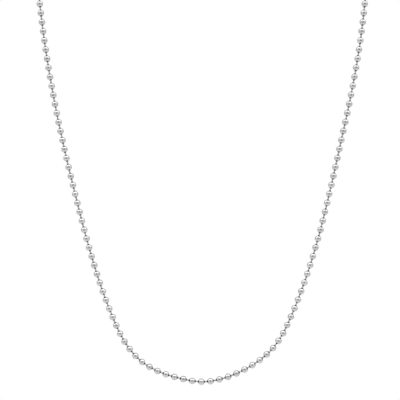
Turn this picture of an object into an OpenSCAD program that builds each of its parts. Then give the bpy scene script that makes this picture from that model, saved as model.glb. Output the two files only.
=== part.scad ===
// Ball chain necklace: hollow drilled balls on a link wire, closed by a snap coupling.
// Millimetres. The origin is where the coupling rests on the nape, +Z is up, and the
// front of the necklace hangs in a vertical plane towards -Y.

/* [Balls] */
// Outer diameter of a ball
ball_d = 2.08; // [1.8:0.02:2.2]
// Thickness of a ball's wall
ball_wall = 0.2; // [0.15:0.01:0.3]
// Distance between two balls' centres where the chain is taut
ball_pitch = 2.87; // [2.75:0.01:3.1]
// How far the balls of one side close up where the chain bends round to the lowest ball
slack = 0.8; // [0:0.1:2]
// How far along the chain the lowest ball lies to the left of the lowest point
lowest_shift = 0.3; // [-0.5:0.05:0.5]

/* [Link wire] */
// Diameter of the wire between the balls
wire_d = 0.4; // [0.3:0.02:0.44]
// Gap all round the wire where it enters a ball
wire_gap = 0.21; // [0.2:0.01:0.26]

/* [Loop] */
// Widest distance between the two sides, measured between ball centres
loop_w = 105; // [98:1:112]
// Distance from the front plane to the nape, measured between ball centres
loop_depth = 98.5; // [92:0.5:110]
// Height of the nape above the lowest ball's centre
loop_drop = 153; // [146:1:165]

/* [Coupling] */
// Distance between the centres of the two end balls in the coupling
end_span = 4.6; // [4.2:0.1:5.4]
// Thickness of the coupling's sheet metal
coupling_wall = 0.3; // [0.25:0.01:0.4]
// Gap between an end ball and the inside of the coupling
ball_gap = 0.15; // [0.12:0.01:0.2]
// Gap between a ball and the entry window that it passes through
entry_gap = 0.1; // [0.08:0.01:0.2]
// Gap on each side of the wire in the coupling's slot
slot_gap = 0.2; // [0.18:0.01:0.3]

/* [Hidden] */

// Front stretch from the lowest ball up. Columns: height as a share of loop_drop, then the
// distance from the middle to the right side and to the left side as shares of loop_w / 2.
FRONT_ROUTE = [
    [0.007, 0.124, 0.130],
    [0.020, 0.221, 0.252],
    [0.042, 0.332, 0.363],
    [0.069, 0.420, 0.436],
    [0.095, 0.473, 0.483],
    [0.130, 0.522, 0.529],
    [0.187, 0.589, 0.593],
    [0.278, 0.675, 0.675],
    [0.380, 0.751, 0.752],
    [0.481, 0.817, 0.822],
    [0.583, 0.881, 0.883],
    [0.685, 0.933, 0.932],
    [0.760, 0.960, 0.960]
];

// Stretch over the shoulders to the nape, the same on both sides. Columns: height as a share
// of loop_drop, distance from the middle as a share of loop_w / 2, and distance behind the
// front plane as a share of loop_depth.
NECK_ROUTE = [
    [0.823, 0.979, 0.010],
    [0.884, 0.994, 0.057],
    [0.925, 1.000, 0.143],
    [0.948, 1.000, 0.257],
    [0.965, 0.987, 0.390],
    [0.978, 0.937, 0.543],
    [0.988, 0.848, 0.686],
    [0.995, 0.705, 0.814],
    [0.999, 0.514, 0.912],
    [1.000, 0.295, 0.976],
    [1.000, 0.114, 0.998],
    [1.000, 0.000, 1.000]
];

ROUTE_STEPS = 16;
WIRE_SIDES = 6;

ball_r = ball_d / 2;
hole_d = wire_d + 2 * wire_gap;
pocket_r = ball_r + ball_gap;
coupling_r = pocket_r + coupling_wall;
entry_r = ball_r + entry_gap;
slot_w = wire_d + 2 * slot_gap;
// The slot is cut right through both round ends of the coupling.
slot_l = end_span + 4 * coupling_r;

// The coupling rests on the nape with its side, so the chain's centre line lies behind the
// origin by the coupling's radius.
nape_y = coupling_r;
front_y = nape_y - loop_depth;

// Chosen points of one side, from the lowest ball to the nape. side is 1 for right, -1 for left.
function front_point(row, side) = [
    side * row[side > 0 ? 1 : 2] * loop_w / 2,
    front_y,
    (row[0] - 1) * loop_drop
];
function neck_point(row, side) = [
    side * row[1] * loop_w / 2,
    front_y + row[2] * loop_depth,
    (row[0] - 1) * loop_drop
];
function side_points(side) = concat(
    [[0, front_y, -loop_drop]],
    [for (row = FRONT_ROUTE) front_point(row, side)],
    [for (row = NECK_ROUTE) neck_point(row, side)]
);

// The same with one point of the other side added at each end, which sets the end directions.
function padded_points(side) =
    let (own = side_points(side), other = side_points(-side))
    concat([other[1]], own, [other[len(other) - 2]]);

// Direction of travel at point i, weighted towards the nearer neighbour.
function slope(p, i) =
    let (back = norm(p[i] - p[i - 1]), ahead = norm(p[i + 1] - p[i]))
    ((p[i + 1] - p[i]) / ahead * back + (p[i] - p[i - 1]) / back * ahead) / (back + ahead);

// Smooth curve between points i and i + 1 at t from 0 to 1.
function curve(p, i, t) =
    let (span = norm(p[i + 1] - p[i]))
    (2 * t ^ 3 - 3 * t ^ 2 + 1) * p[i]
    + (t ^ 3 - 2 * t ^ 2 + t) * span * slope(p, i)
    + (3 * t ^ 2 - 2 * t ^ 3) * p[i + 1]
    + (t ^ 3 - t ^ 2) * span * slope(p, i + 1);

function side_curve(side) =
    let (p = padded_points(side))
    concat(
        [for (i = [1 : len(p) - 3]) for (step = [0 : ROUTE_STEPS - 1]) curve(p, i, step / ROUTE_STEPS)],
        [p[len(p) - 2]]
    );

// Length of the curve from its start to each of its points.
function running_length(c) = [
    for (i = 0, total = 0; i < len(c); i = i + 1, total = total + (i < len(c) ? norm(c[i] - c[i - 1]) : 0))
        total
];

// Point of the curve c at the length at, read from the running lengths s.
function point_at(c, s, at) = [
    for (axis = [0 : 2]) lookup(at, [for (i = [0 : len(c) - 1]) [s[i], c[i][axis]]])
];

// How far the k-th ball from the lowest one is pulled towards it by the slack. Most of the
// closing up lies about SLACK_BALLS balls away, where the chain bends from slope to bottom.
SLACK_BALLS = 8.6;
function closed_up(k) = slack * (1 - exp(-(k / SLACK_BALLS) ^ 2));

right_curve = side_curve(1);
left_curve = side_curve(-1);
right_s = running_length(right_curve);
left_s = running_length(left_curve);
chain_l = right_s[len(right_s) - 1] + left_s[len(left_s) - 1];

// Balls on each side of the lowest one. Each side's pitch is then stretched or closed a little,
// so that its end ball lies in the coupling.
side_balls = round(((chain_l - end_span) / 2 + slack) / ball_pitch);
function side_centres(c, s, first) =
    let (length = s[len(s) - 1] - end_span / 2 - first)
    let (pitch = (length + closed_up(side_balls)) / side_balls)
    [for (k = [1 : side_balls]) point_at(c, s, first + k * pitch - closed_up(k))];

right_centres = side_centres(right_curve, right_s, -lowest_shift);
left_centres = side_centres(left_curve, left_s, lowest_shift);

// Centres of all the balls, from the left end ball round the front to the right end ball.
centres = concat(
    [for (k = [side_balls - 1 : -1 : 0]) left_centres[k]],
    [lowest_shift > 0 ? point_at(left_curve, left_s, lowest_shift) : point_at(right_curve, right_s, -lowest_shift)],
    right_centres
);
last = len(centres) - 1;

// A ball's drilled axis points from the ball before it to the ball after it.
function unit(v) = v / norm(v);
axes = [for (i = [0 : last]) unit(centres[min(i + 1, last)] - centres[max(i - 1, 0)])];

// One direction across the wire at each ball, carried along the chain without twist.
function carried(v, axis) = unit(v - (v * axis) * axis);
across = [
    for (i = 0, v = carried([0, 0, 1], axes[0]); i <= last; i = i + 1, v = carried(v, axes[min(i, last)])) v
];

module at_ball(i) {
    translate(centres[i])
        rotate([0, acos(axes[i][2]), atan2(axes[i][1], axes[i][0])])
            children();
}

module ball() {
    difference() {
        sphere(d = ball_d, $fn = 32);
        sphere(d = ball_d - 2 * ball_wall, $fn = 32);
        cylinder(d = hole_d, h = 2 * ball_d, center = true, $fn = 24);
    }
}

module balls() {
    color("silver")
        for (i = [0 : last])
            at_ball(i) ball();
}

// The wire runs straight from ball centre to ball centre and ends inside the two end balls.
module link_wire() {
    ring_points = [
        for (i = [0 : last]) for (k = [0 : WIRE_SIDES - 1])
            centres[i] + wire_d / 2 * (cos(360 * k / WIRE_SIDES) * across[i]
                + sin(360 * k / WIRE_SIDES) * cross(axes[i], across[i]))
    ];
    side_faces = [
        for (i = [0 : last - 1]) for (k = [0 : WIRE_SIDES - 1])
            let (next = (k + 1) % WIRE_SIDES)
            [i * WIRE_SIDES + k, (i + 1) * WIRE_SIDES + k, (i + 1) * WIRE_SIDES + next, i * WIRE_SIDES + next]
    ];
    first_cap = [for (k = [0 : WIRE_SIDES - 1]) k];
    last_cap = [for (k = [WIRE_SIDES - 1 : -1 : 0]) last * WIRE_SIDES + k];
    color("gainsboro") polyhedron(ring_points, concat(side_faces, [first_cap, last_cap]));
}

// Half of a round-ended outline to turn about its long axis, whose end arcs have their centres
// span apart.
module half_capsule(r, span) {
    intersection() {
        union() {
            translate([0, -span / 2]) square([r, span]);
            for (end = [-1, 1])
                translate([0, end * span / 2]) circle(r = r, $fn = 48);
        }
        translate([0, -span / 2 - r]) square([r, span + 2 * r]);
    }
}

// Bent sheet shell round the two end balls. A ball enters by the window at the back and slides
// to its end, and the wire follows it through the slot.
module coupling() {
    color("lightgray") translate([0, nape_y, 0]) difference() {
        rotate([0, 90, 0]) rotate_extrude($fn = 48) difference() {
            half_capsule(coupling_r, end_span);
            half_capsule(pocket_r, end_span);
        }
        rotate([-90, 0, 0]) cylinder(r = entry_r, h = 2 * coupling_r, $fn = 48);
        translate([-slot_l / 2, 0, -slot_w / 2]) cube([slot_l, 2 * coupling_r, slot_w]);
        rotate([0, 90, 0]) cylinder(d = slot_w, h = slot_l, center = true, $fn = 24);
    }
}

balls();
link_wire();
coupling();
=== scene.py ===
import math

import bmesh
import bpy
import numpy as np
from bpy.props import FloatProperty, FloatVectorProperty, IntProperty, PointerProperty
from mathutils import Matrix, Vector


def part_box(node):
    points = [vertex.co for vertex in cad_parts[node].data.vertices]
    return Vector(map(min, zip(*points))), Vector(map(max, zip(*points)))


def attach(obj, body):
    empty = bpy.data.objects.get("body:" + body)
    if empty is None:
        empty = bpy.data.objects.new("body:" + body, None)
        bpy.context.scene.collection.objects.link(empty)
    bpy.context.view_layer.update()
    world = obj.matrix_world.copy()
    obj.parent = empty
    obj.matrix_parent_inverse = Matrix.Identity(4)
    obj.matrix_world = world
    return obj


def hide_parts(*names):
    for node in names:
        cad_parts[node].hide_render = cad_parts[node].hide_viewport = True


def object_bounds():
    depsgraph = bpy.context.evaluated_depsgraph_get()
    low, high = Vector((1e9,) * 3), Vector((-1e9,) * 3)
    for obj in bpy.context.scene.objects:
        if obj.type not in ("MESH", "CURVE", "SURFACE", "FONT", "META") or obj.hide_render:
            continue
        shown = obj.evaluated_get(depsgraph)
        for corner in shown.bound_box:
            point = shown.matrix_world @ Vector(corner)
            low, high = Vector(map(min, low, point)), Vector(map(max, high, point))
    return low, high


bl_info = {
    "name": "Ball Chain Necklace",
    "version": (1, 0, 0),
    "blender": (4, 5, 0),
    "location": "View3D > Sidebar > Ball Chain",
    "description": "Dresses the packed ball chain necklace: polished balls, link pins and coupling",
    "category": "Object",
}

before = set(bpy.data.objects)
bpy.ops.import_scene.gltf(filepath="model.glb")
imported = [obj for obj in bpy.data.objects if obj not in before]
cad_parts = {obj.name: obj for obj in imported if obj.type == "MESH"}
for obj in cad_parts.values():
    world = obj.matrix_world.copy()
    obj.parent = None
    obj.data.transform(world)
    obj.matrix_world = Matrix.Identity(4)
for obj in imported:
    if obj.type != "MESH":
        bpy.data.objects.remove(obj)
CAD_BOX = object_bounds()

MM = 0.001

# What the photo's picture frame says
PICTURE_PX = 400
MM_PER_PX = 0.311
CHAIN_AXIS_PX = 202.3
LOWEST_BALL_PX = 381.8

COUPLING_LOW, COUPLING_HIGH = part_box("coupling")
COUPLING_D = COUPLING_HIGH.z - COUPLING_LOW.z
LOWEST_Z = CAD_BOX[0][2]
# Painted shade darkens the poles more from the lowest ball up to this height.
PAINTED_SHADE_BELOW_Z = LOWEST_Z + 28 * MM
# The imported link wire's radius, by which its box stands out past the ball centres
CAD_WIRE_R = 0.2 * MM

# How fine the silver's patterns are, per metre
CLOUDS = 1.3 / MM
GRAIN = 9.0 / MM
SCRATCHES = 14.0 / MM
# Turns a ball's tone into a place in the noise of its own
TONE_JUMP = 50.0
# How far the clouds push the edge of the tarnish and painted shade in and out, in the same measure as the
# depth in the hollows
TARNISH_AND_SHADE_WAVER = 0.16
# The cloud from which the polish is duller, and how soon it is as dull as it gets
DULL_FROM = 0.42
DULL_OVER = 0.25
# Half the width of a ball's closing seam, and where it has faded out
SEAM_HALF = 0.012 * MM
SEAM_FADED = 0.035 * MM
SEAM_FILM = 0.35
SEAM_DEPTH = 4.0
# Roughness that dull polish, tarnish and painted shade, and scratches add
DULL_ROUGH = 0.06
TARNISH_AND_SHADE_ROUGH = 0.25
SCRATCH_ROUGH = 0.12
# Height of the fine relief
RELIEF = 0.003 * MM
# Depth of a ball's wells in the hollows, past that of any skin, so that tarnish and painted shade always
# darken them fully
WELL_TARNISH_AND_SHADE_DEPTH = 1.3


class BallSettings(bpy.types.PropertyGroup):
    """Sizes of one ball and how the balls differ from each other"""

    diameter: FloatProperty(name="Diameter", description="Outer diameter of a ball",
                            default=2.08 * MM, unit="LENGTH", precision=5)
    hole: FloatProperty(name="Hole", description="Diameter of the hole at each pole",
                        default=0.82 * MM, unit="LENGTH", precision=5)
    lip: FloatProperty(name="Lip", description="Width of the rounded edge round a hole",
                       default=0.07 * MM, unit="LENGTH", precision=5)
    dent_depth: FloatProperty(name="Dent depth", description="How far the pressed skin sinks below round",
                              default=0.014 * MM, unit="LENGTH", precision=5)
    dents: FloatProperty(name="Dents", description="How many soft dents lie side by side across a ball",
                         default=2.1, min=0.0)
    rounding: IntProperty(name="Rounding", description="Subdivision levels of one ball",
                          default=1, min=0, max=3)
    seed: IntProperty(name="Seed", description="Seed of the balls' rolls, tones and dents", default=7)


class PinSettings(bpy.types.PropertyGroup):
    """Sizes of one link pin, a short wire with an upset head in each of two balls"""

    neck: FloatProperty(name="Neck", description="Diameter of the pin half way between two balls",
                        default=0.46 * MM, unit="LENGTH", precision=5)
    head: FloatProperty(name="Head", description="Diameter of the head inside a ball",
                        default=0.92 * MM, unit="LENGTH", precision=5)
    shoulder: FloatProperty(name="Shoulder", description="Diameter where the pin leaves a ball",
                            default=0.78 * MM, unit="LENGTH", precision=5)
    pitch: FloatProperty(name="Pitch", description="Distance between two balls' centres on a taut chain",
                         default=2.87 * MM, unit="LENGTH", precision=5)


class CouplingSettings(bpy.types.PropertyGroup):
    """Sizes of the snap coupling at the nape"""

    end_span: FloatProperty(name="End span", description="Distance between the two end balls' centres",
                            default=4.6 * MM, unit="LENGTH", precision=5)
    wall: FloatProperty(name="Wall", description="Thickness of the sheet metal",
                        default=0.3 * MM, unit="LENGTH", precision=5)
    slot: FloatProperty(name="Slot", description="Width of the slot for the wire",
                        default=0.8 * MM, unit="LENGTH", precision=5)
    window: FloatProperty(name="Window", description="Diameter of the entry window",
                          default=2.28 * MM, unit="LENGTH", precision=5)
    edge: FloatProperty(name="Edge", description="Width of the rounded edges of the sheet",
                        default=0.07 * MM, unit="LENGTH", precision=5)


def shade(name, description, value):
    """A grey that the user can change to another colour."""
    return FloatVectorProperty(name=name, description=description, subtype="COLOR", size=4,
                               min=0.0, max=1.0, default=(value, value, value, 1.0))


class SilverSettings(bpy.types.PropertyGroup):
    """Finish of the silver"""

    polished: shade("Polished", "Colour of the best polished silver", 0.93)
    dull: shade("Dull", "Colour where the polish is duller", 0.78)
    drawn: shade("Drawn wire", "Colour of the drawn wire between two balls", 0.65)
    # Colour of the tarnish and painted shade in and beside the holes, and where it begins on a ball
    tarnish_and_shade: shade("Film", "Colour of the dark film in the holes and beside them", 0.1)
    tarnish_and_shade_start: FloatProperty(name="Film start",
                              description="Share of a ball's radius past which its film begins",
                              default=0.86, min=0.0, max=1.0, subtype="FACTOR")
    # Painted shade: how much darker the poles grow towards the lowest ball.
    low_painted_shade: FloatProperty(name="Gathered film",
                            description="How much further the film reaches at the lowest ball",
                            default=0.21, min=0.0, max=1.0, subtype="FACTOR")
    polish: FloatProperty(name="Polish", description="Roughness of the best polished silver",
                          default=0.06, min=0.0, max=1.0, subtype="FACTOR")


class StageSettings(bpy.types.PropertyGroup):
    """Camera, light tent and floor. Brightness 1 is white"""

    lens: FloatProperty(name="Lens", description="Focal length of the camera", default=135.0, unit="CAMERA")
    tent: FloatProperty(name="Tent", description="Brightness of the tent's sides", default=0.55)
    backdrop: FloatProperty(name="Backdrop", description="Brightness of the cloth behind the chain",
                            default=0.02)
    backdrop_spread: FloatProperty(name="Backdrop spread",
                                   description="Angle from the backdrop's middle to its edge",
                                   default=math.radians(28), subtype="ANGLE")
    backdrop_height: FloatProperty(name="Backdrop height",
                                   description="Angle of the backdrop's middle above the chain",
                                   default=math.radians(-13), subtype="ANGLE")
    lamp: FloatProperty(name="Lamp", description="Brightness of the long soft lamp overhead", default=2.14)
    lamp_height: FloatProperty(name="Lamp height", description="Angle of the lamp above the camera's side",
                               default=math.radians(73.5), subtype="ANGLE")
    lamp_depth: FloatProperty(name="Lamp depth", description="Half the lamp's angle from front to back",
                              default=math.radians(9.5), subtype="ANGLE")
    lamp_breadth: FloatProperty(name="Lamp breadth", description="Half the lamp's angle from left to right",
                                default=math.radians(63), subtype="ANGLE")
    opening: FloatProperty(name="Opening", description="Brightness of the tent's opening for the camera",
                           default=0.21)
    opening_height: FloatProperty(name="Opening height",
                                  description="Angle of the opening above the camera",
                                  default=math.radians(-20), subtype="ANGLE")
    opening_spread: FloatProperty(name="Opening spread",
                                  description="Angle from the opening's middle to its edge",
                                  default=math.radians(47), subtype="ANGLE")
    floor_drop: FloatProperty(name="Floor drop",
                              description="Distance from the lowest ball down to the floor",
                              default=110 * MM, unit="LENGTH")
    floor_radius: FloatProperty(name="Floor radius", description="Radius of the round floor", default=0.55,
                                unit="LENGTH")


class Socket:
    """A node's output that Python expressions can add, subtract and multiply."""

    def __init__(self, tree, socket):
        self.tree = tree
        self.socket = socket

    def _math(self, operation, first, second=None):
        values = {0: first} if second is None else {0: first, 1: second}
        return self.tree.node("ShaderNodeMath", {"operation": operation}, values)

    def __add__(self, other):
        return self._math("ADD", self, other)

    __radd__ = __add__

    def __sub__(self, other):
        return self._math("SUBTRACT", self, other)

    def __rsub__(self, other):
        return self._math("SUBTRACT", other, self)

    def __mul__(self, other):
        return self._math("MULTIPLY", self, other)

    __rmul__ = __mul__

    def size(self):
        """The value without its sign."""
        return self._math("ABSOLUTE", self)

    def sibling(self, name):
        """Another output of the same node."""
        return Socket(self.tree, self.socket.node.outputs[name])

    def rising(self, low, high):
        """0 below low, 1 above high, smooth between."""
        return self.tree.node("ShaderNodeMapRange", {"interpolation_type": "SMOOTHSTEP"},
                              {"Value": self, "From Min": low, "From Max": high})


class Tree:
    """Adds nodes to a shader or geometry tree."""

    def __init__(self, node_tree):
        self.nodes = node_tree.nodes
        self.links = node_tree.links

    def node(self, kind, settings=None, inputs=None, output=0):
        """One node: settings first, then socket values or links. Gives back one of its outputs."""
        made = self.nodes.new(kind)
        for name, value in (settings or {}).items():
            setattr(made, name, value)
        for name, value in (inputs or {}).items():
            socket = made.inputs[name]
            if isinstance(value, Socket):
                self.links.new(value.socket, socket)
            else:
                socket.default_value = value
        return Socket(self, made.outputs[output]) if len(made.outputs) else None

    def mix_colour(self, factor, first, second):
        """The first colour at factor 0, the second at 1."""
        # A Mix node has these sockets once for each kind of value, so the colours' own are named by number.
        return self.node("ShaderNodeMix", {"data_type": "RGBA"}, {0: factor, 6: first, 7: second}, output=2)


def silver_material(name, bright, tarnish_and_shade_from, tarnish_and_shade_at, seam=False, worn=False):
    """Silver that tarnish and painted shade darken where the piece's attribute of depth in the hollows
    rises between the two given bounds.

    seam draws the fine closing line of a formed ball, and worn adds fine scratches along X.
    """
    look = bpy.context.scene.chain_silver
    material = bpy.data.materials.new(name)
    material.use_nodes = True
    material.node_tree.nodes.clear()
    tree = Tree(material.node_tree)
    own = tree.node("ShaderNodeAttribute", {"attribute_name": "own_place"}, output="Vector")
    shelter = tree.node("ShaderNodeAttribute", {"attribute_name": "shelter"}, output="Fac")
    tone = tree.node("ShaderNodeAttribute", {"attribute_name": "tone"}, output="Fac")

    def noise(scale, detail, place=own):
        return tree.node("ShaderNodeTexNoise", {"noise_dimensions": "4D"}, {
            "Vector": place, "W": tone * TONE_JUMP, "Scale": scale, "Detail": detail, "Roughness": 0.6})

    cloud = noise(CLOUDS, 3.0)
    height = noise(GRAIN, 4.0)
    # Painted shade: the dark mask reaches further along the lowest stretch, so the poles there are darker.
    hangs_at = tree.node("ShaderNodeTexCoord", output="Object")
    hangs_at = tree.node("ShaderNodeSeparateXYZ", None, {"Vector": hangs_at}, output="Z")
    low = 1 - hangs_at.rising(LOWEST_Z, PAINTED_SHADE_BELOW_Z)
    # Tarnish and painted shade: dark in the holes and hollows, waved by the clouds, and further low down.
    tarnish_and_shade = (shelter + (cloud - 0.5) * TARNISH_AND_SHADE_WAVER + low * look.low_painted_shade).rising(tarnish_and_shade_from, tarnish_and_shade_at)
    dull = (cloud - DULL_FROM).rising(0.0, DULL_OVER) * 0.5 + tone * 0.5
    if seam:
        apart = tree.node("ShaderNodeSeparateXYZ", None, {"Vector": own}, output="X")
        beside = apart.sibling("Y").size()
        # The seam runs from pole to pole on one side of the ball only.
        line = (1 - beside.rising(SEAM_HALF, SEAM_FADED)) * apart.rising(0.0, 0.1 * MM)
        tarnish_and_shade = tarnish_and_shade + line * SEAM_FILM
        height = height - line * SEAM_DEPTH
    roughness = look.polish + dull * DULL_ROUGH + tarnish_and_shade * TARNISH_AND_SHADE_ROUGH
    if worn:
        # The noise changes slowly along X, so its spots are drawn out to lines.
        drawn_out = tree.node("ShaderNodeVectorMath", {"operation": "MULTIPLY"},
                              {0: own, 1: (0.06, 1.0, 1.0)})
        scratches = noise(SCRATCHES, 1.0, drawn_out).rising(0.58, 0.68)
        height = height - scratches
        roughness = roughness + scratches * SCRATCH_ROUGH
    clean = tree.mix_colour(dull, bright, look.dull)
    colour = tree.mix_colour(tarnish_and_shade.rising(0.0, 1.0), clean, look.tarnish_and_shade)
    bump = tree.node("ShaderNodeBump", None,
                     {"Strength": 0.3, "Distance": RELIEF, "Height": height}, output="Normal")
    shader = tree.node("ShaderNodeBsdfPrincipled", None, {
        "Base Color": colour, "Metallic": 1.0, "Roughness": roughness, "Normal": bump})
    tree.node("ShaderNodeOutputMaterial", None, {"Surface": shader})
    return material


def plain_material(name, colour, roughness):
    """A material of one colour, for what isn't part of the necklace."""
    material = bpy.data.materials.new(name)
    material.use_nodes = True
    shader = material.node_tree.nodes["Principled BSDF"]
    shader.inputs["Base Color"].default_value = colour
    shader.inputs["Roughness"].default_value = roughness
    return material


def ball_centres():
    """Ball centres in order from the left end ball round the front, read from the wire's rings."""
    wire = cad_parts["link_wire"].data
    points = np.empty(3 * len(wire.vertices))
    wire.vertices.foreach_get("co", points)
    points = np.unique(points.reshape(-1, 3).round(6), axis=0)
    # Wider than a ring of the wire, and much less than the way to the next one.
    ring_reach = 0.6 * MM
    middle = np.array((COUPLING_LOW + COUPLING_HIGH) / 2)
    left = points[points[:, 0] < middle[0]]
    here = left[np.argmin(np.linalg.norm(left - middle, axis=1))]
    centres = []
    while len(points):
        near = points[np.argmin(np.linalg.norm(points - here, axis=1))]
        in_ring = np.linalg.norm(points - near, axis=1) < ring_reach
        here = points[in_ring].mean(axis=0)
        centres.append(here)
        points = points[~in_ring]
    if len(centres) < 3:
        raise RuntimeError("the packed link wire doesn't show where the balls sit")
    return np.array(centres)


def unit_rows(vectors):
    """Each row of the array made one long."""
    return vectors / np.linalg.norm(vectors, axis=1)[:, None]


def ball_axes(centres):
    """Each ball's drilled axis points from the ball before it to the ball after it."""
    padded = np.vstack([centres[:1], centres, centres[-1:]])
    return unit_rows(padded[2:] - padded[:-2])


def points_object(name, places, axes):
    """A mesh of bare points, each with the direction that its piece is laid along."""
    mesh = bpy.data.meshes.new(name)
    mesh.from_pydata([tuple(p) for p in places], [], [])
    axis = mesh.attributes.new("axis", "FLOAT_VECTOR", "POINT")
    axis.data.foreach_set("vector", np.asarray(axes, dtype=np.float32).ravel())
    made = bpy.data.objects.new(name, mesh)
    bpy.context.scene.collection.objects.link(made)
    return made


def turned_mesh(name, profile, columns, shelter, skin=None):
    """Turns a profile of (radius, height) about Z and closes both ends.

    The depth list says how far each ring lies in the hollows, where tarnish and painted shade darken it,
    and skin marks the rings of a ball's round skin.
    """
    work = bmesh.new()
    tarnish_and_shade_layer = work.verts.layers.float.new("shelter")
    skin_layer = work.verts.layers.float.new("skin")
    turns = [2 * math.pi * k / columns for k in range(columns)]
    rings = []
    for number, (radius, height) in enumerate(profile):
        ring = [work.verts.new((radius * math.cos(a), radius * math.sin(a), height)) for a in turns]
        for vertex in ring:
            vertex[tarnish_and_shade_layer] = shelter[number]
            vertex[skin_layer] = skin[number] if skin else 0.0
        rings.append(ring)
    for upper, lower in zip(rings, rings[1:]):
        for i in range(columns):
            j = (i + 1) % columns
            work.faces.new((upper[i], lower[i], lower[j], upper[j]))
    work.faces.new(rings[0])
    work.faces.new(list(reversed(rings[-1])))
    bmesh.ops.recalc_face_normals(work, faces=work.faces)
    for face in work.faces:
        face.smooth = True
    mesh = bpy.data.meshes.new(name)
    work.to_mesh(mesh)
    work.free()
    return mesh


def ball_mesh():
    """The few faces of one ball about Z: round skin, a lip at each pole and the well of each hole, darkened
    by tarnish and painted shade.
    """
    size = bpy.context.scene.chain_ball
    columns = 8
    # Subdivision draws an eight-sided ring in by this share, so the rings start wider by it.
    draw_in = (6 + 2 * math.cos(2 * math.pi / columns)) / 8 if size.rounding else 1.0
    outer, hole = size.diameter / 2, size.hole / 2
    lip = hole + size.lip
    pole_turn = math.asin(lip / outer)
    skin_turns = [pole_turn + (math.pi / 2 - pole_turn) * k / 2 for k in range(3)]
    # The well's floor lies deep in the hole, behind the pin's shoulder.
    well = [(0.9 * hole, 0.62 * outer), (hole, 0.86 * outer)]
    upper = well + [(lip, outer * math.cos(pole_turn))]
    upper += [(outer * math.sin(t), outer * math.cos(t)) for t in skin_turns[1:]]
    profile = upper + [(r, -z) for r, z in reversed(upper[:-1])]
    in_well = [WELL_TARNISH_AND_SHADE_DEPTH] * len(well)
    # Tarnish and painted shade grow towards the poles and fill the wells.
    shelter = in_well + [abs(z) / outer for r, z in profile[len(well):-len(well)]] + in_well
    profile = [(r / draw_in, z) for r, z in profile]
    # The skin's rings are set on the true sphere, and the lip's only a part of the way to it.
    skin = [0.0, 0.0, 0.3, 1.0, 1.0, 1.0, 0.3, 0.0, 0.0]
    return turned_mesh("ball", profile, columns, shelter, skin)


def pin_mesh():
    """One link pin about Z: two upset heads, shoulders that fill the holes and a drawn neck."""
    size = bpy.context.scene.chain_pin
    ball_r = bpy.context.scene.chain_ball.diameter / 2
    half = size.pitch / 2
    head, shoulder, neck = size.head / 2, size.shoulder / 2, size.neck / 2
    # Distances from the ball's centre along the pin, as shares of the ball's radius.
    stations = [(0.36, 0.5 * head), (0.52, head), (0.84, shoulder), (1.02, 0.8 * shoulder), (1.16, neck)]
    upper = [(r, half - share * ball_r) for share, r in stations]
    profile = upper + [(r, -z) for r, z in reversed(upper)]
    # The shoulders get full tarnish and painted shade, the neck little.
    shelter = [1.0, 1.0, 1.0, 1.0, 0.25, 0.25, 1.0, 1.0, 1.0, 1.0]
    return turned_mesh("pin", profile, 8, shelter)


def template_object(mesh):
    """An object for the mesh, as the repeat tree takes its template from one."""
    made = bpy.data.objects.new(mesh.name + "_template", mesh)
    bpy.context.scene.collection.objects.link(made)
    return made


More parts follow.
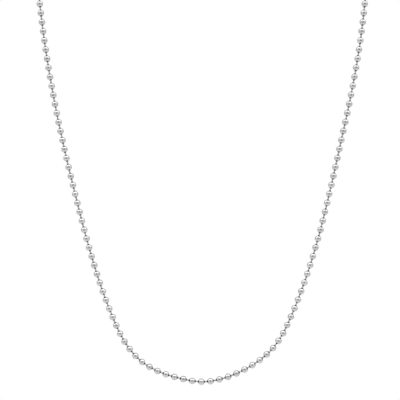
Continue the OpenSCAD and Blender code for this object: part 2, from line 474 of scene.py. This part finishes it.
def repeat_tree(name):
    """Rounds a template, lays it on each point along its axis, and rolls, tones and dents each copy."""
    group = bpy.data.node_groups.new(name, "GeometryNodeTree")
    face = group.interface
    face.new_socket("Geometry", in_out="INPUT", socket_type="NodeSocketGeometry")
    for title, kind in (("Template", "Object"), ("Rounding", "Int"), ("Radius", "Float"),
                        ("Dent depth", "Float"), ("Dents per metre", "Float"), ("Seed", "Int"),
                        ("Finish", "Material")):
        face.new_socket(title, in_out="INPUT", socket_type="NodeSocket" + kind)
    face.new_socket("Geometry", in_out="OUTPUT", socket_type="NodeSocketGeometry")
    tree = Tree(group)
    source = group.nodes.new("NodeGroupInput")

    def given(title):
        return Socket(tree, source.outputs[title])

    def stored(title, kind):
        return tree.node("GeometryNodeInputNamedAttribute", {"data_type": kind}, {"Name": title})

    def vector(operation, first, second=None, scale=None):
        values = {0: first}
        if second is not None:
            values[1] = second
        if scale is not None:
            values["Scale"] = scale
        return tree.node("ShaderNodeVectorMath", {"operation": operation}, values)

    place = tree.node("GeometryNodeInputPosition")
    template = tree.node("GeometryNodeObjectInfo", None, {"Object": given("Template")}, output="Geometry")
    rounded = tree.node("GeometryNodeSubdivisionSurface", None,
                        {"Mesh": template, "Level": given("Rounding")})
    on_ball = vector("SCALE", vector("NORMALIZE", place), scale=given("Radius"))
    skin = stored("skin", "FLOAT")
    skinned = vector("SCALE", vector("SUBTRACT", on_ball, place), scale=skin)
    true_round = tree.node("GeometryNodeSetPosition", None, {"Geometry": rounded, "Offset": skinned})
    marked = tree.node("GeometryNodeStoreNamedAttribute", {"data_type": "FLOAT_VECTOR", "domain": "POINT"},
                       {"Geometry": true_round, "Name": "own_place", "Value": place})

    laid = tree.node("FunctionNodeAlignRotationToVector", {"axis": "Z"},
                     {"Vector": stored("axis", "FLOAT_VECTOR")})
    roll = tree.node("FunctionNodeRandomValue", {"data_type": "FLOAT"},
                     {2: 0.0, 3: 2 * math.pi, "Seed": given("Seed")}, output=1)
    turn = tree.node("FunctionNodeAxisAngleToRotation", None, {"Axis": (0, 0, 1), "Angle": roll})
    rotation = tree.node("FunctionNodeRotateRotation", {"rotation_space": "LOCAL"},
                         {"Rotation": laid, "Rotate By": turn})
    copies = tree.node("GeometryNodeInstanceOnPoints", None,
                       {"Points": given("Geometry"), "Instance": marked, "Rotation": rotation})
    tone = tree.node("FunctionNodeRandomValue", {"data_type": "FLOAT"},
                     {2: 0.0, 3: 1.0, "Seed": given("Seed") + 1}, output=1)
    toned = tree.node("GeometryNodeStoreNamedAttribute", {"data_type": "FLOAT", "domain": "INSTANCE"},
                      {"Geometry": copies, "Name": "tone", "Value": tone})

    real = tree.node("GeometryNodeRealizeInstances", None, {"Geometry": toned})
    noise = tree.node("ShaderNodeTexNoise", {"noise_dimensions": "4D"}, {
        "Vector": stored("own_place", "FLOAT_VECTOR"), "W": stored("tone", "FLOAT") * TONE_JUMP,
        "Scale": given("Dents per metre"), "Detail": 0.0})
    sink = vector("SCALE", tree.node("GeometryNodeInputNormal"), scale=noise * given("Dent depth") * -1.0)
    dented = tree.node("GeometryNodeSetPosition", None, {"Geometry": real, "Offset": sink})
    finished = tree.node("GeometryNodeSetMaterial", None, {"Geometry": dented, "Material": given("Finish")})
    tree.node("NodeGroupOutput", None, {"Geometry": finished})
    return group


def repeated(name, places, axes, template, inputs):
    """Runs the repeat tree on the points and leaves one plain mesh."""
    made = points_object(name, places, axes)
    group = repeat_tree(name + "_tree")
    modifier = made.modifiers.new("Repeat", "NODES")
    modifier.node_group = group
    values = {"Template": template, **inputs}
    for item in group.interface.items_tree:
        if item.in_out == "INPUT" and item.name in values:
            modifier[item.identifier] = values[item.name]
    graph = bpy.context.evaluated_depsgraph_get()
    mesh = bpy.data.meshes.new_from_object(made.evaluated_get(graph))
    made.modifiers.remove(modifier)
    made.data = mesh
    mesh.name = name
    bpy.data.objects.remove(template)
    return made


def dress(piece, slot, *nodes):
    """Hands a finished piece to the frame."""
    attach(piece, "root")
    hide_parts(*nodes)


class CHAIN_OT_balls(bpy.types.Operator):
    """Makes the polished balls, one on each place of the chain"""

    bl_idname = "chain.balls"
    bl_label = "Balls"

    def execute(self, context):
        size = context.scene.chain_ball
        look = context.scene.chain_silver
        centres = ball_centres()
        # Tarnish and painted shade are thick in the holes and thin out over the skin beside them.
        silver = silver_material("polished_silver_balls", look.polished, look.tarnish_and_shade_start, 1.0, seam=True)
        piece = repeated("polished_balls", centres, ball_axes(centres), template_object(ball_mesh()), {
            "Rounding": size.rounding, "Radius": size.diameter / 2, "Dent depth": size.dent_depth,
            "Dents per metre": size.dents / size.diameter, "Seed": size.seed, "Finish": silver})
        dress(piece, "polished_silver", "balls")
        return {"FINISHED"}


class CHAIN_OT_pins(bpy.types.Operator):
    """Makes the link pins, one between each two neighbouring balls"""

    bl_idname = "chain.pins"
    bl_label = "Link pins"

    def execute(self, context):
        centres = ball_centres()
        middles = (centres[1:] + centres[:-1]) / 2
        ways = unit_rows(centres[1:] - centres[:-1])
        # Tarnish and painted shade darken the pin's shoulders in the holes; its middle stays bright.
        silver = silver_material("link_silver_pins", context.scene.chain_silver.drawn, 0.3, 1.0)
        piece = repeated("link_pins", middles, ways, template_object(pin_mesh()),
                         {"Seed": context.scene.chain_ball.seed, "Finish": silver})
        dress(piece, "link_silver", "link_wire")
        return {"FINISHED"}


class CHAIN_OT_coupling(bpy.types.Operator):
    """Makes the bent sheet coupling at the nape"""

    bl_idname = "chain.coupling"
    bl_label = "Coupling"

    def execute(self, context):
        size = context.scene.chain_coupling
        radius = COUPLING_D / 2
        middle = (COUPLING_LOW + COUPLING_HIGH) / 2
        half_slot, half_window, half_span = size.slot / 2, size.window / 2, size.end_span / 2
        window_steps, straight_steps, end_steps, ring_steps = 8, 6, 10, 36
        # Stations from the middle to one end: across the window, past its corner, straight, round the end.
        corner = math.asin(half_slot / half_window)
        in_window = [half_window * math.cos(t) for t in np.linspace(math.pi / 2, corner, window_steps)]
        straight = list(np.linspace(in_window[-1], half_span, straight_steps)[1:])
        end_turn = math.asin(half_slot / radius)
        half = [(x, radius, max(half_slot, math.sqrt(half_window ** 2 - x ** 2))) for x in in_window]
        half += [(x, radius, half_slot) for x in straight]
        half += [(half_span + radius * math.cos(a), radius * math.sin(a), half_slot)
                 for a in np.linspace(math.pi / 2, end_turn, end_steps)[1:]]
        stations = [(-x, r, gap) for x, r, gap in reversed(half[1:])] + half
        # Wound so that every face looks away from the axis, which the sheet's thickness relies on.
        work = bmesh.new()
        rings = []
        for x, r, gap in stations:
            gap_turn = math.asin(min(1.0, gap / r))
            rings.append([work.verts.new((x, r * math.cos(a), r * math.sin(a)))
                          for a in np.linspace(gap_turn, 2 * math.pi - gap_turn, ring_steps)])
        for upper, lower in zip(rings, rings[1:]):
            for i in range(len(upper) - 1):
                work.faces.new((upper[i], upper[i + 1], lower[i + 1], lower[i])).smooth = True
        mesh = bpy.data.meshes.new("snap_coupling")
        work.to_mesh(mesh)
        work.free()
        piece = bpy.data.objects.new("snap_coupling", mesh)
        context.scene.collection.objects.link(piece)
        sheet = piece.modifiers.new("Sheet", "SOLIDIFY")
        sheet.thickness = size.wall
        sheet.offset = -1.0
        sheet.use_even_offset = True
        edge = piece.modifiers.new("Edge", "BEVEL")
        edge.width = size.edge
        edge.segments = 3
        edge.limit_method = "ANGLE"
        edge.angle_limit = math.radians(50)
        graph = context.evaluated_depsgraph_get()
        plain = bpy.data.meshes.new_from_object(piece.evaluated_get(graph))
        piece.modifiers.clear()
        piece.data = plain
        own = np.empty(3 * len(plain.vertices), dtype=np.float32)
        plain.vertices.foreach_get("co", own)
        plain.attributes.new("own_place", "FLOAT_VECTOR", "POINT").data.foreach_set("vector", own)
        own = own.reshape(-1, 3)
        # Tarnish and painted shade inside the sheet, none outside: how deep a point lies below the outer
        # skin.
        past_axis = np.c_[np.maximum(np.abs(own[:, 0]) - half_span, 0.0), own[:, 1:]]
        depth = ((radius - np.linalg.norm(past_axis, axis=1)) / size.wall).astype(np.float32)
        plain.attributes.new("shelter", "FLOAT", "POINT").data.foreach_set("value", depth)
        plain.transform(Matrix.Translation(middle))
        plain.materials.clear()
        plain.materials.append(silver_material("coupling_silver_sheet", context.scene.chain_silver.polished,
                                               0.35, 1.6, worn=True))
        dress(piece, "coupling_silver", "coupling")
        return {"FINISHED"}


def light_tent(scene):
    """A white ground for the camera, and round the chain a tent with an overhead lamp and an opening."""
    stage = scene.chain_stage
    world = bpy.data.worlds.new("light_tent")
    world.use_nodes = True
    world.node_tree.nodes.clear()
    scene.world = world
    tree = Tree(world.node_tree)
    direction = tree.node("ShaderNodeTexCoord", output="Generated")

    def share(way):
        """Cosine of the angle between the light's direction and a way."""
        return tree.node("ShaderNodeVectorMath", {"operation": "DOT_PRODUCT"}, {0: direction, 1: way},
                         output="Value")

    def round_patch(height, spread, back=1):
        """A soft round patch whose middle is height above the back of the tent, or above its front."""
        way = (0, back * math.cos(height), math.sin(height))
        return share(way).rising(math.cos(spread), math.cos(spread * 0.4))

    def strip(way, half_angle):
        """A soft band all round the tent, square to a way."""
        return 1 - share(way).size().rising(math.sin(half_angle * 0.75), math.sin(half_angle * 1.25))

    up = stage.lamp_height
    opening = round_patch(stage.opening_height, stage.opening_spread, back=-1)
    backdrop = round_patch(stage.backdrop_height, stage.backdrop_spread)
    lamp = strip((0, math.sin(up), math.cos(up)), stage.lamp_depth) * strip((1, 0, 0), stage.lamp_breadth)
    # The bands cross above and below the chain, and the lamp is only where they cross above.
    lamp = lamp * share((0, -math.cos(up), math.sin(up))).rising(0.0, 0.1)
    glow = stage.tent + backdrop * (stage.backdrop - stage.tent)
    glow = glow + opening * (stage.opening - glow)
    glow = glow + lamp * (stage.lamp - glow)
    colour = tree.node("ShaderNodeCombineColor", None, {"Red": glow, "Green": glow, "Blue": glow})
    seen = tree.node("ShaderNodeLightPath", output="Is Camera Ray")
    ground = tree.mix_colour(seen, colour, (1.0, 1.0, 1.0, 1.0))
    light = tree.node("ShaderNodeBackground", None, {"Color": ground, "Strength": 1.0})
    tree.node("ShaderNodeOutputWorld", None, {"Surface": light})


class CHAIN_OT_stage(bpy.types.Operator):
    """Sets the camera, the light tent and the pale floor"""

    bl_idname = "chain.stage"
    bl_label = "Stage"

    def execute(self, context):
        scene = context.scene
        stage = scene.chain_stage
        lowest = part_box("link_wire")[0]
        px = MM_PER_PX * MM
        front_y = lowest.y + CAD_WIRE_R
        ball_z = lowest.z + CAD_WIRE_R
        # The camera looks level at the picture's middle, which the photo's pixels give.
        target = Vector(((PICTURE_PX / 2 - CHAIN_AXIS_PX) * px, front_y,
                         ball_z + (LOWEST_BALL_PX - PICTURE_PX / 2) * px))
        data = bpy.data.cameras.new("photo_camera")
        data.lens = stage.lens
        camera = bpy.data.objects.new("photo_camera", data)
        distance = PICTURE_PX * px * data.lens / data.sensor_width
        camera.location = target - Vector((0, distance, 0))
        camera.rotation_euler = (math.radians(90), 0, 0)
        data.clip_start = 0.01
        scene.collection.objects.link(camera)
        scene.camera = camera

        floor_mesh = bpy.data.meshes.new("pale_floor")
        work = bmesh.new()
        bmesh.ops.create_circle(work, cap_ends=True, segments=64, radius=stage.floor_radius)
        work.to_mesh(floor_mesh)
        work.free()
        floor = bpy.data.objects.new("pale_floor", floor_mesh)
        floor.location = (0, front_y / 2, ball_z - stage.floor_drop)
        floor_mesh.materials.append(plain_material("pale_floor", (0.82, 0.82, 0.82, 1.0), 0.6))
        scene.collection.objects.link(floor)

        scene.view_settings.view_transform = "Standard"
        light_tent(scene)
        return {"FINISHED"}


OPERATORS = (CHAIN_OT_balls, CHAIN_OT_pins, CHAIN_OT_coupling, CHAIN_OT_stage)


class CHAIN_PT_panel(bpy.types.Panel):
    """Lists the sizes and the steps that dress the necklace"""

    bl_idname = "CHAIN_PT_panel"
    bl_label = "Ball Chain"
    bl_space_type = "VIEW_3D"
    bl_region_type = "UI"
    bl_category = "Ball Chain"

    def draw(self, context):
        for operator in OPERATORS:
            self.layout.operator(operator.bl_idname)
        for holder in SETTINGS:
            box = self.layout.box()
            group = getattr(context.scene, holder)
            for name in group.bl_rna.properties.keys():
                if name not in ("rna_type", "name"):
                    box.prop(group, name)


SETTINGS = {
    "chain_ball": BallSettings,
    "chain_pin": PinSettings,
    "chain_coupling": CouplingSettings,
    "chain_silver": SilverSettings,
    "chain_stage": StageSettings,
}


def register():
    for kind in (*SETTINGS.values(), *OPERATORS, CHAIN_PT_panel):
        bpy.utils.register_class(kind)
    for holder, kind in SETTINGS.items():
        setattr(bpy.types.Scene, holder, PointerProperty(type=kind))


def unregister():
    for holder in SETTINGS:
        delattr(bpy.types.Scene, holder)
    for kind in reversed((*SETTINGS.values(), *OPERATORS, CHAIN_PT_panel)):
        bpy.utils.unregister_class(kind)


def main():
    register()
    bpy.ops.chain.balls()
    bpy.ops.chain.pins()
    bpy.ops.chain.coupling()
    bpy.ops.chain.stage()


if __name__ == "__main__":
    main()
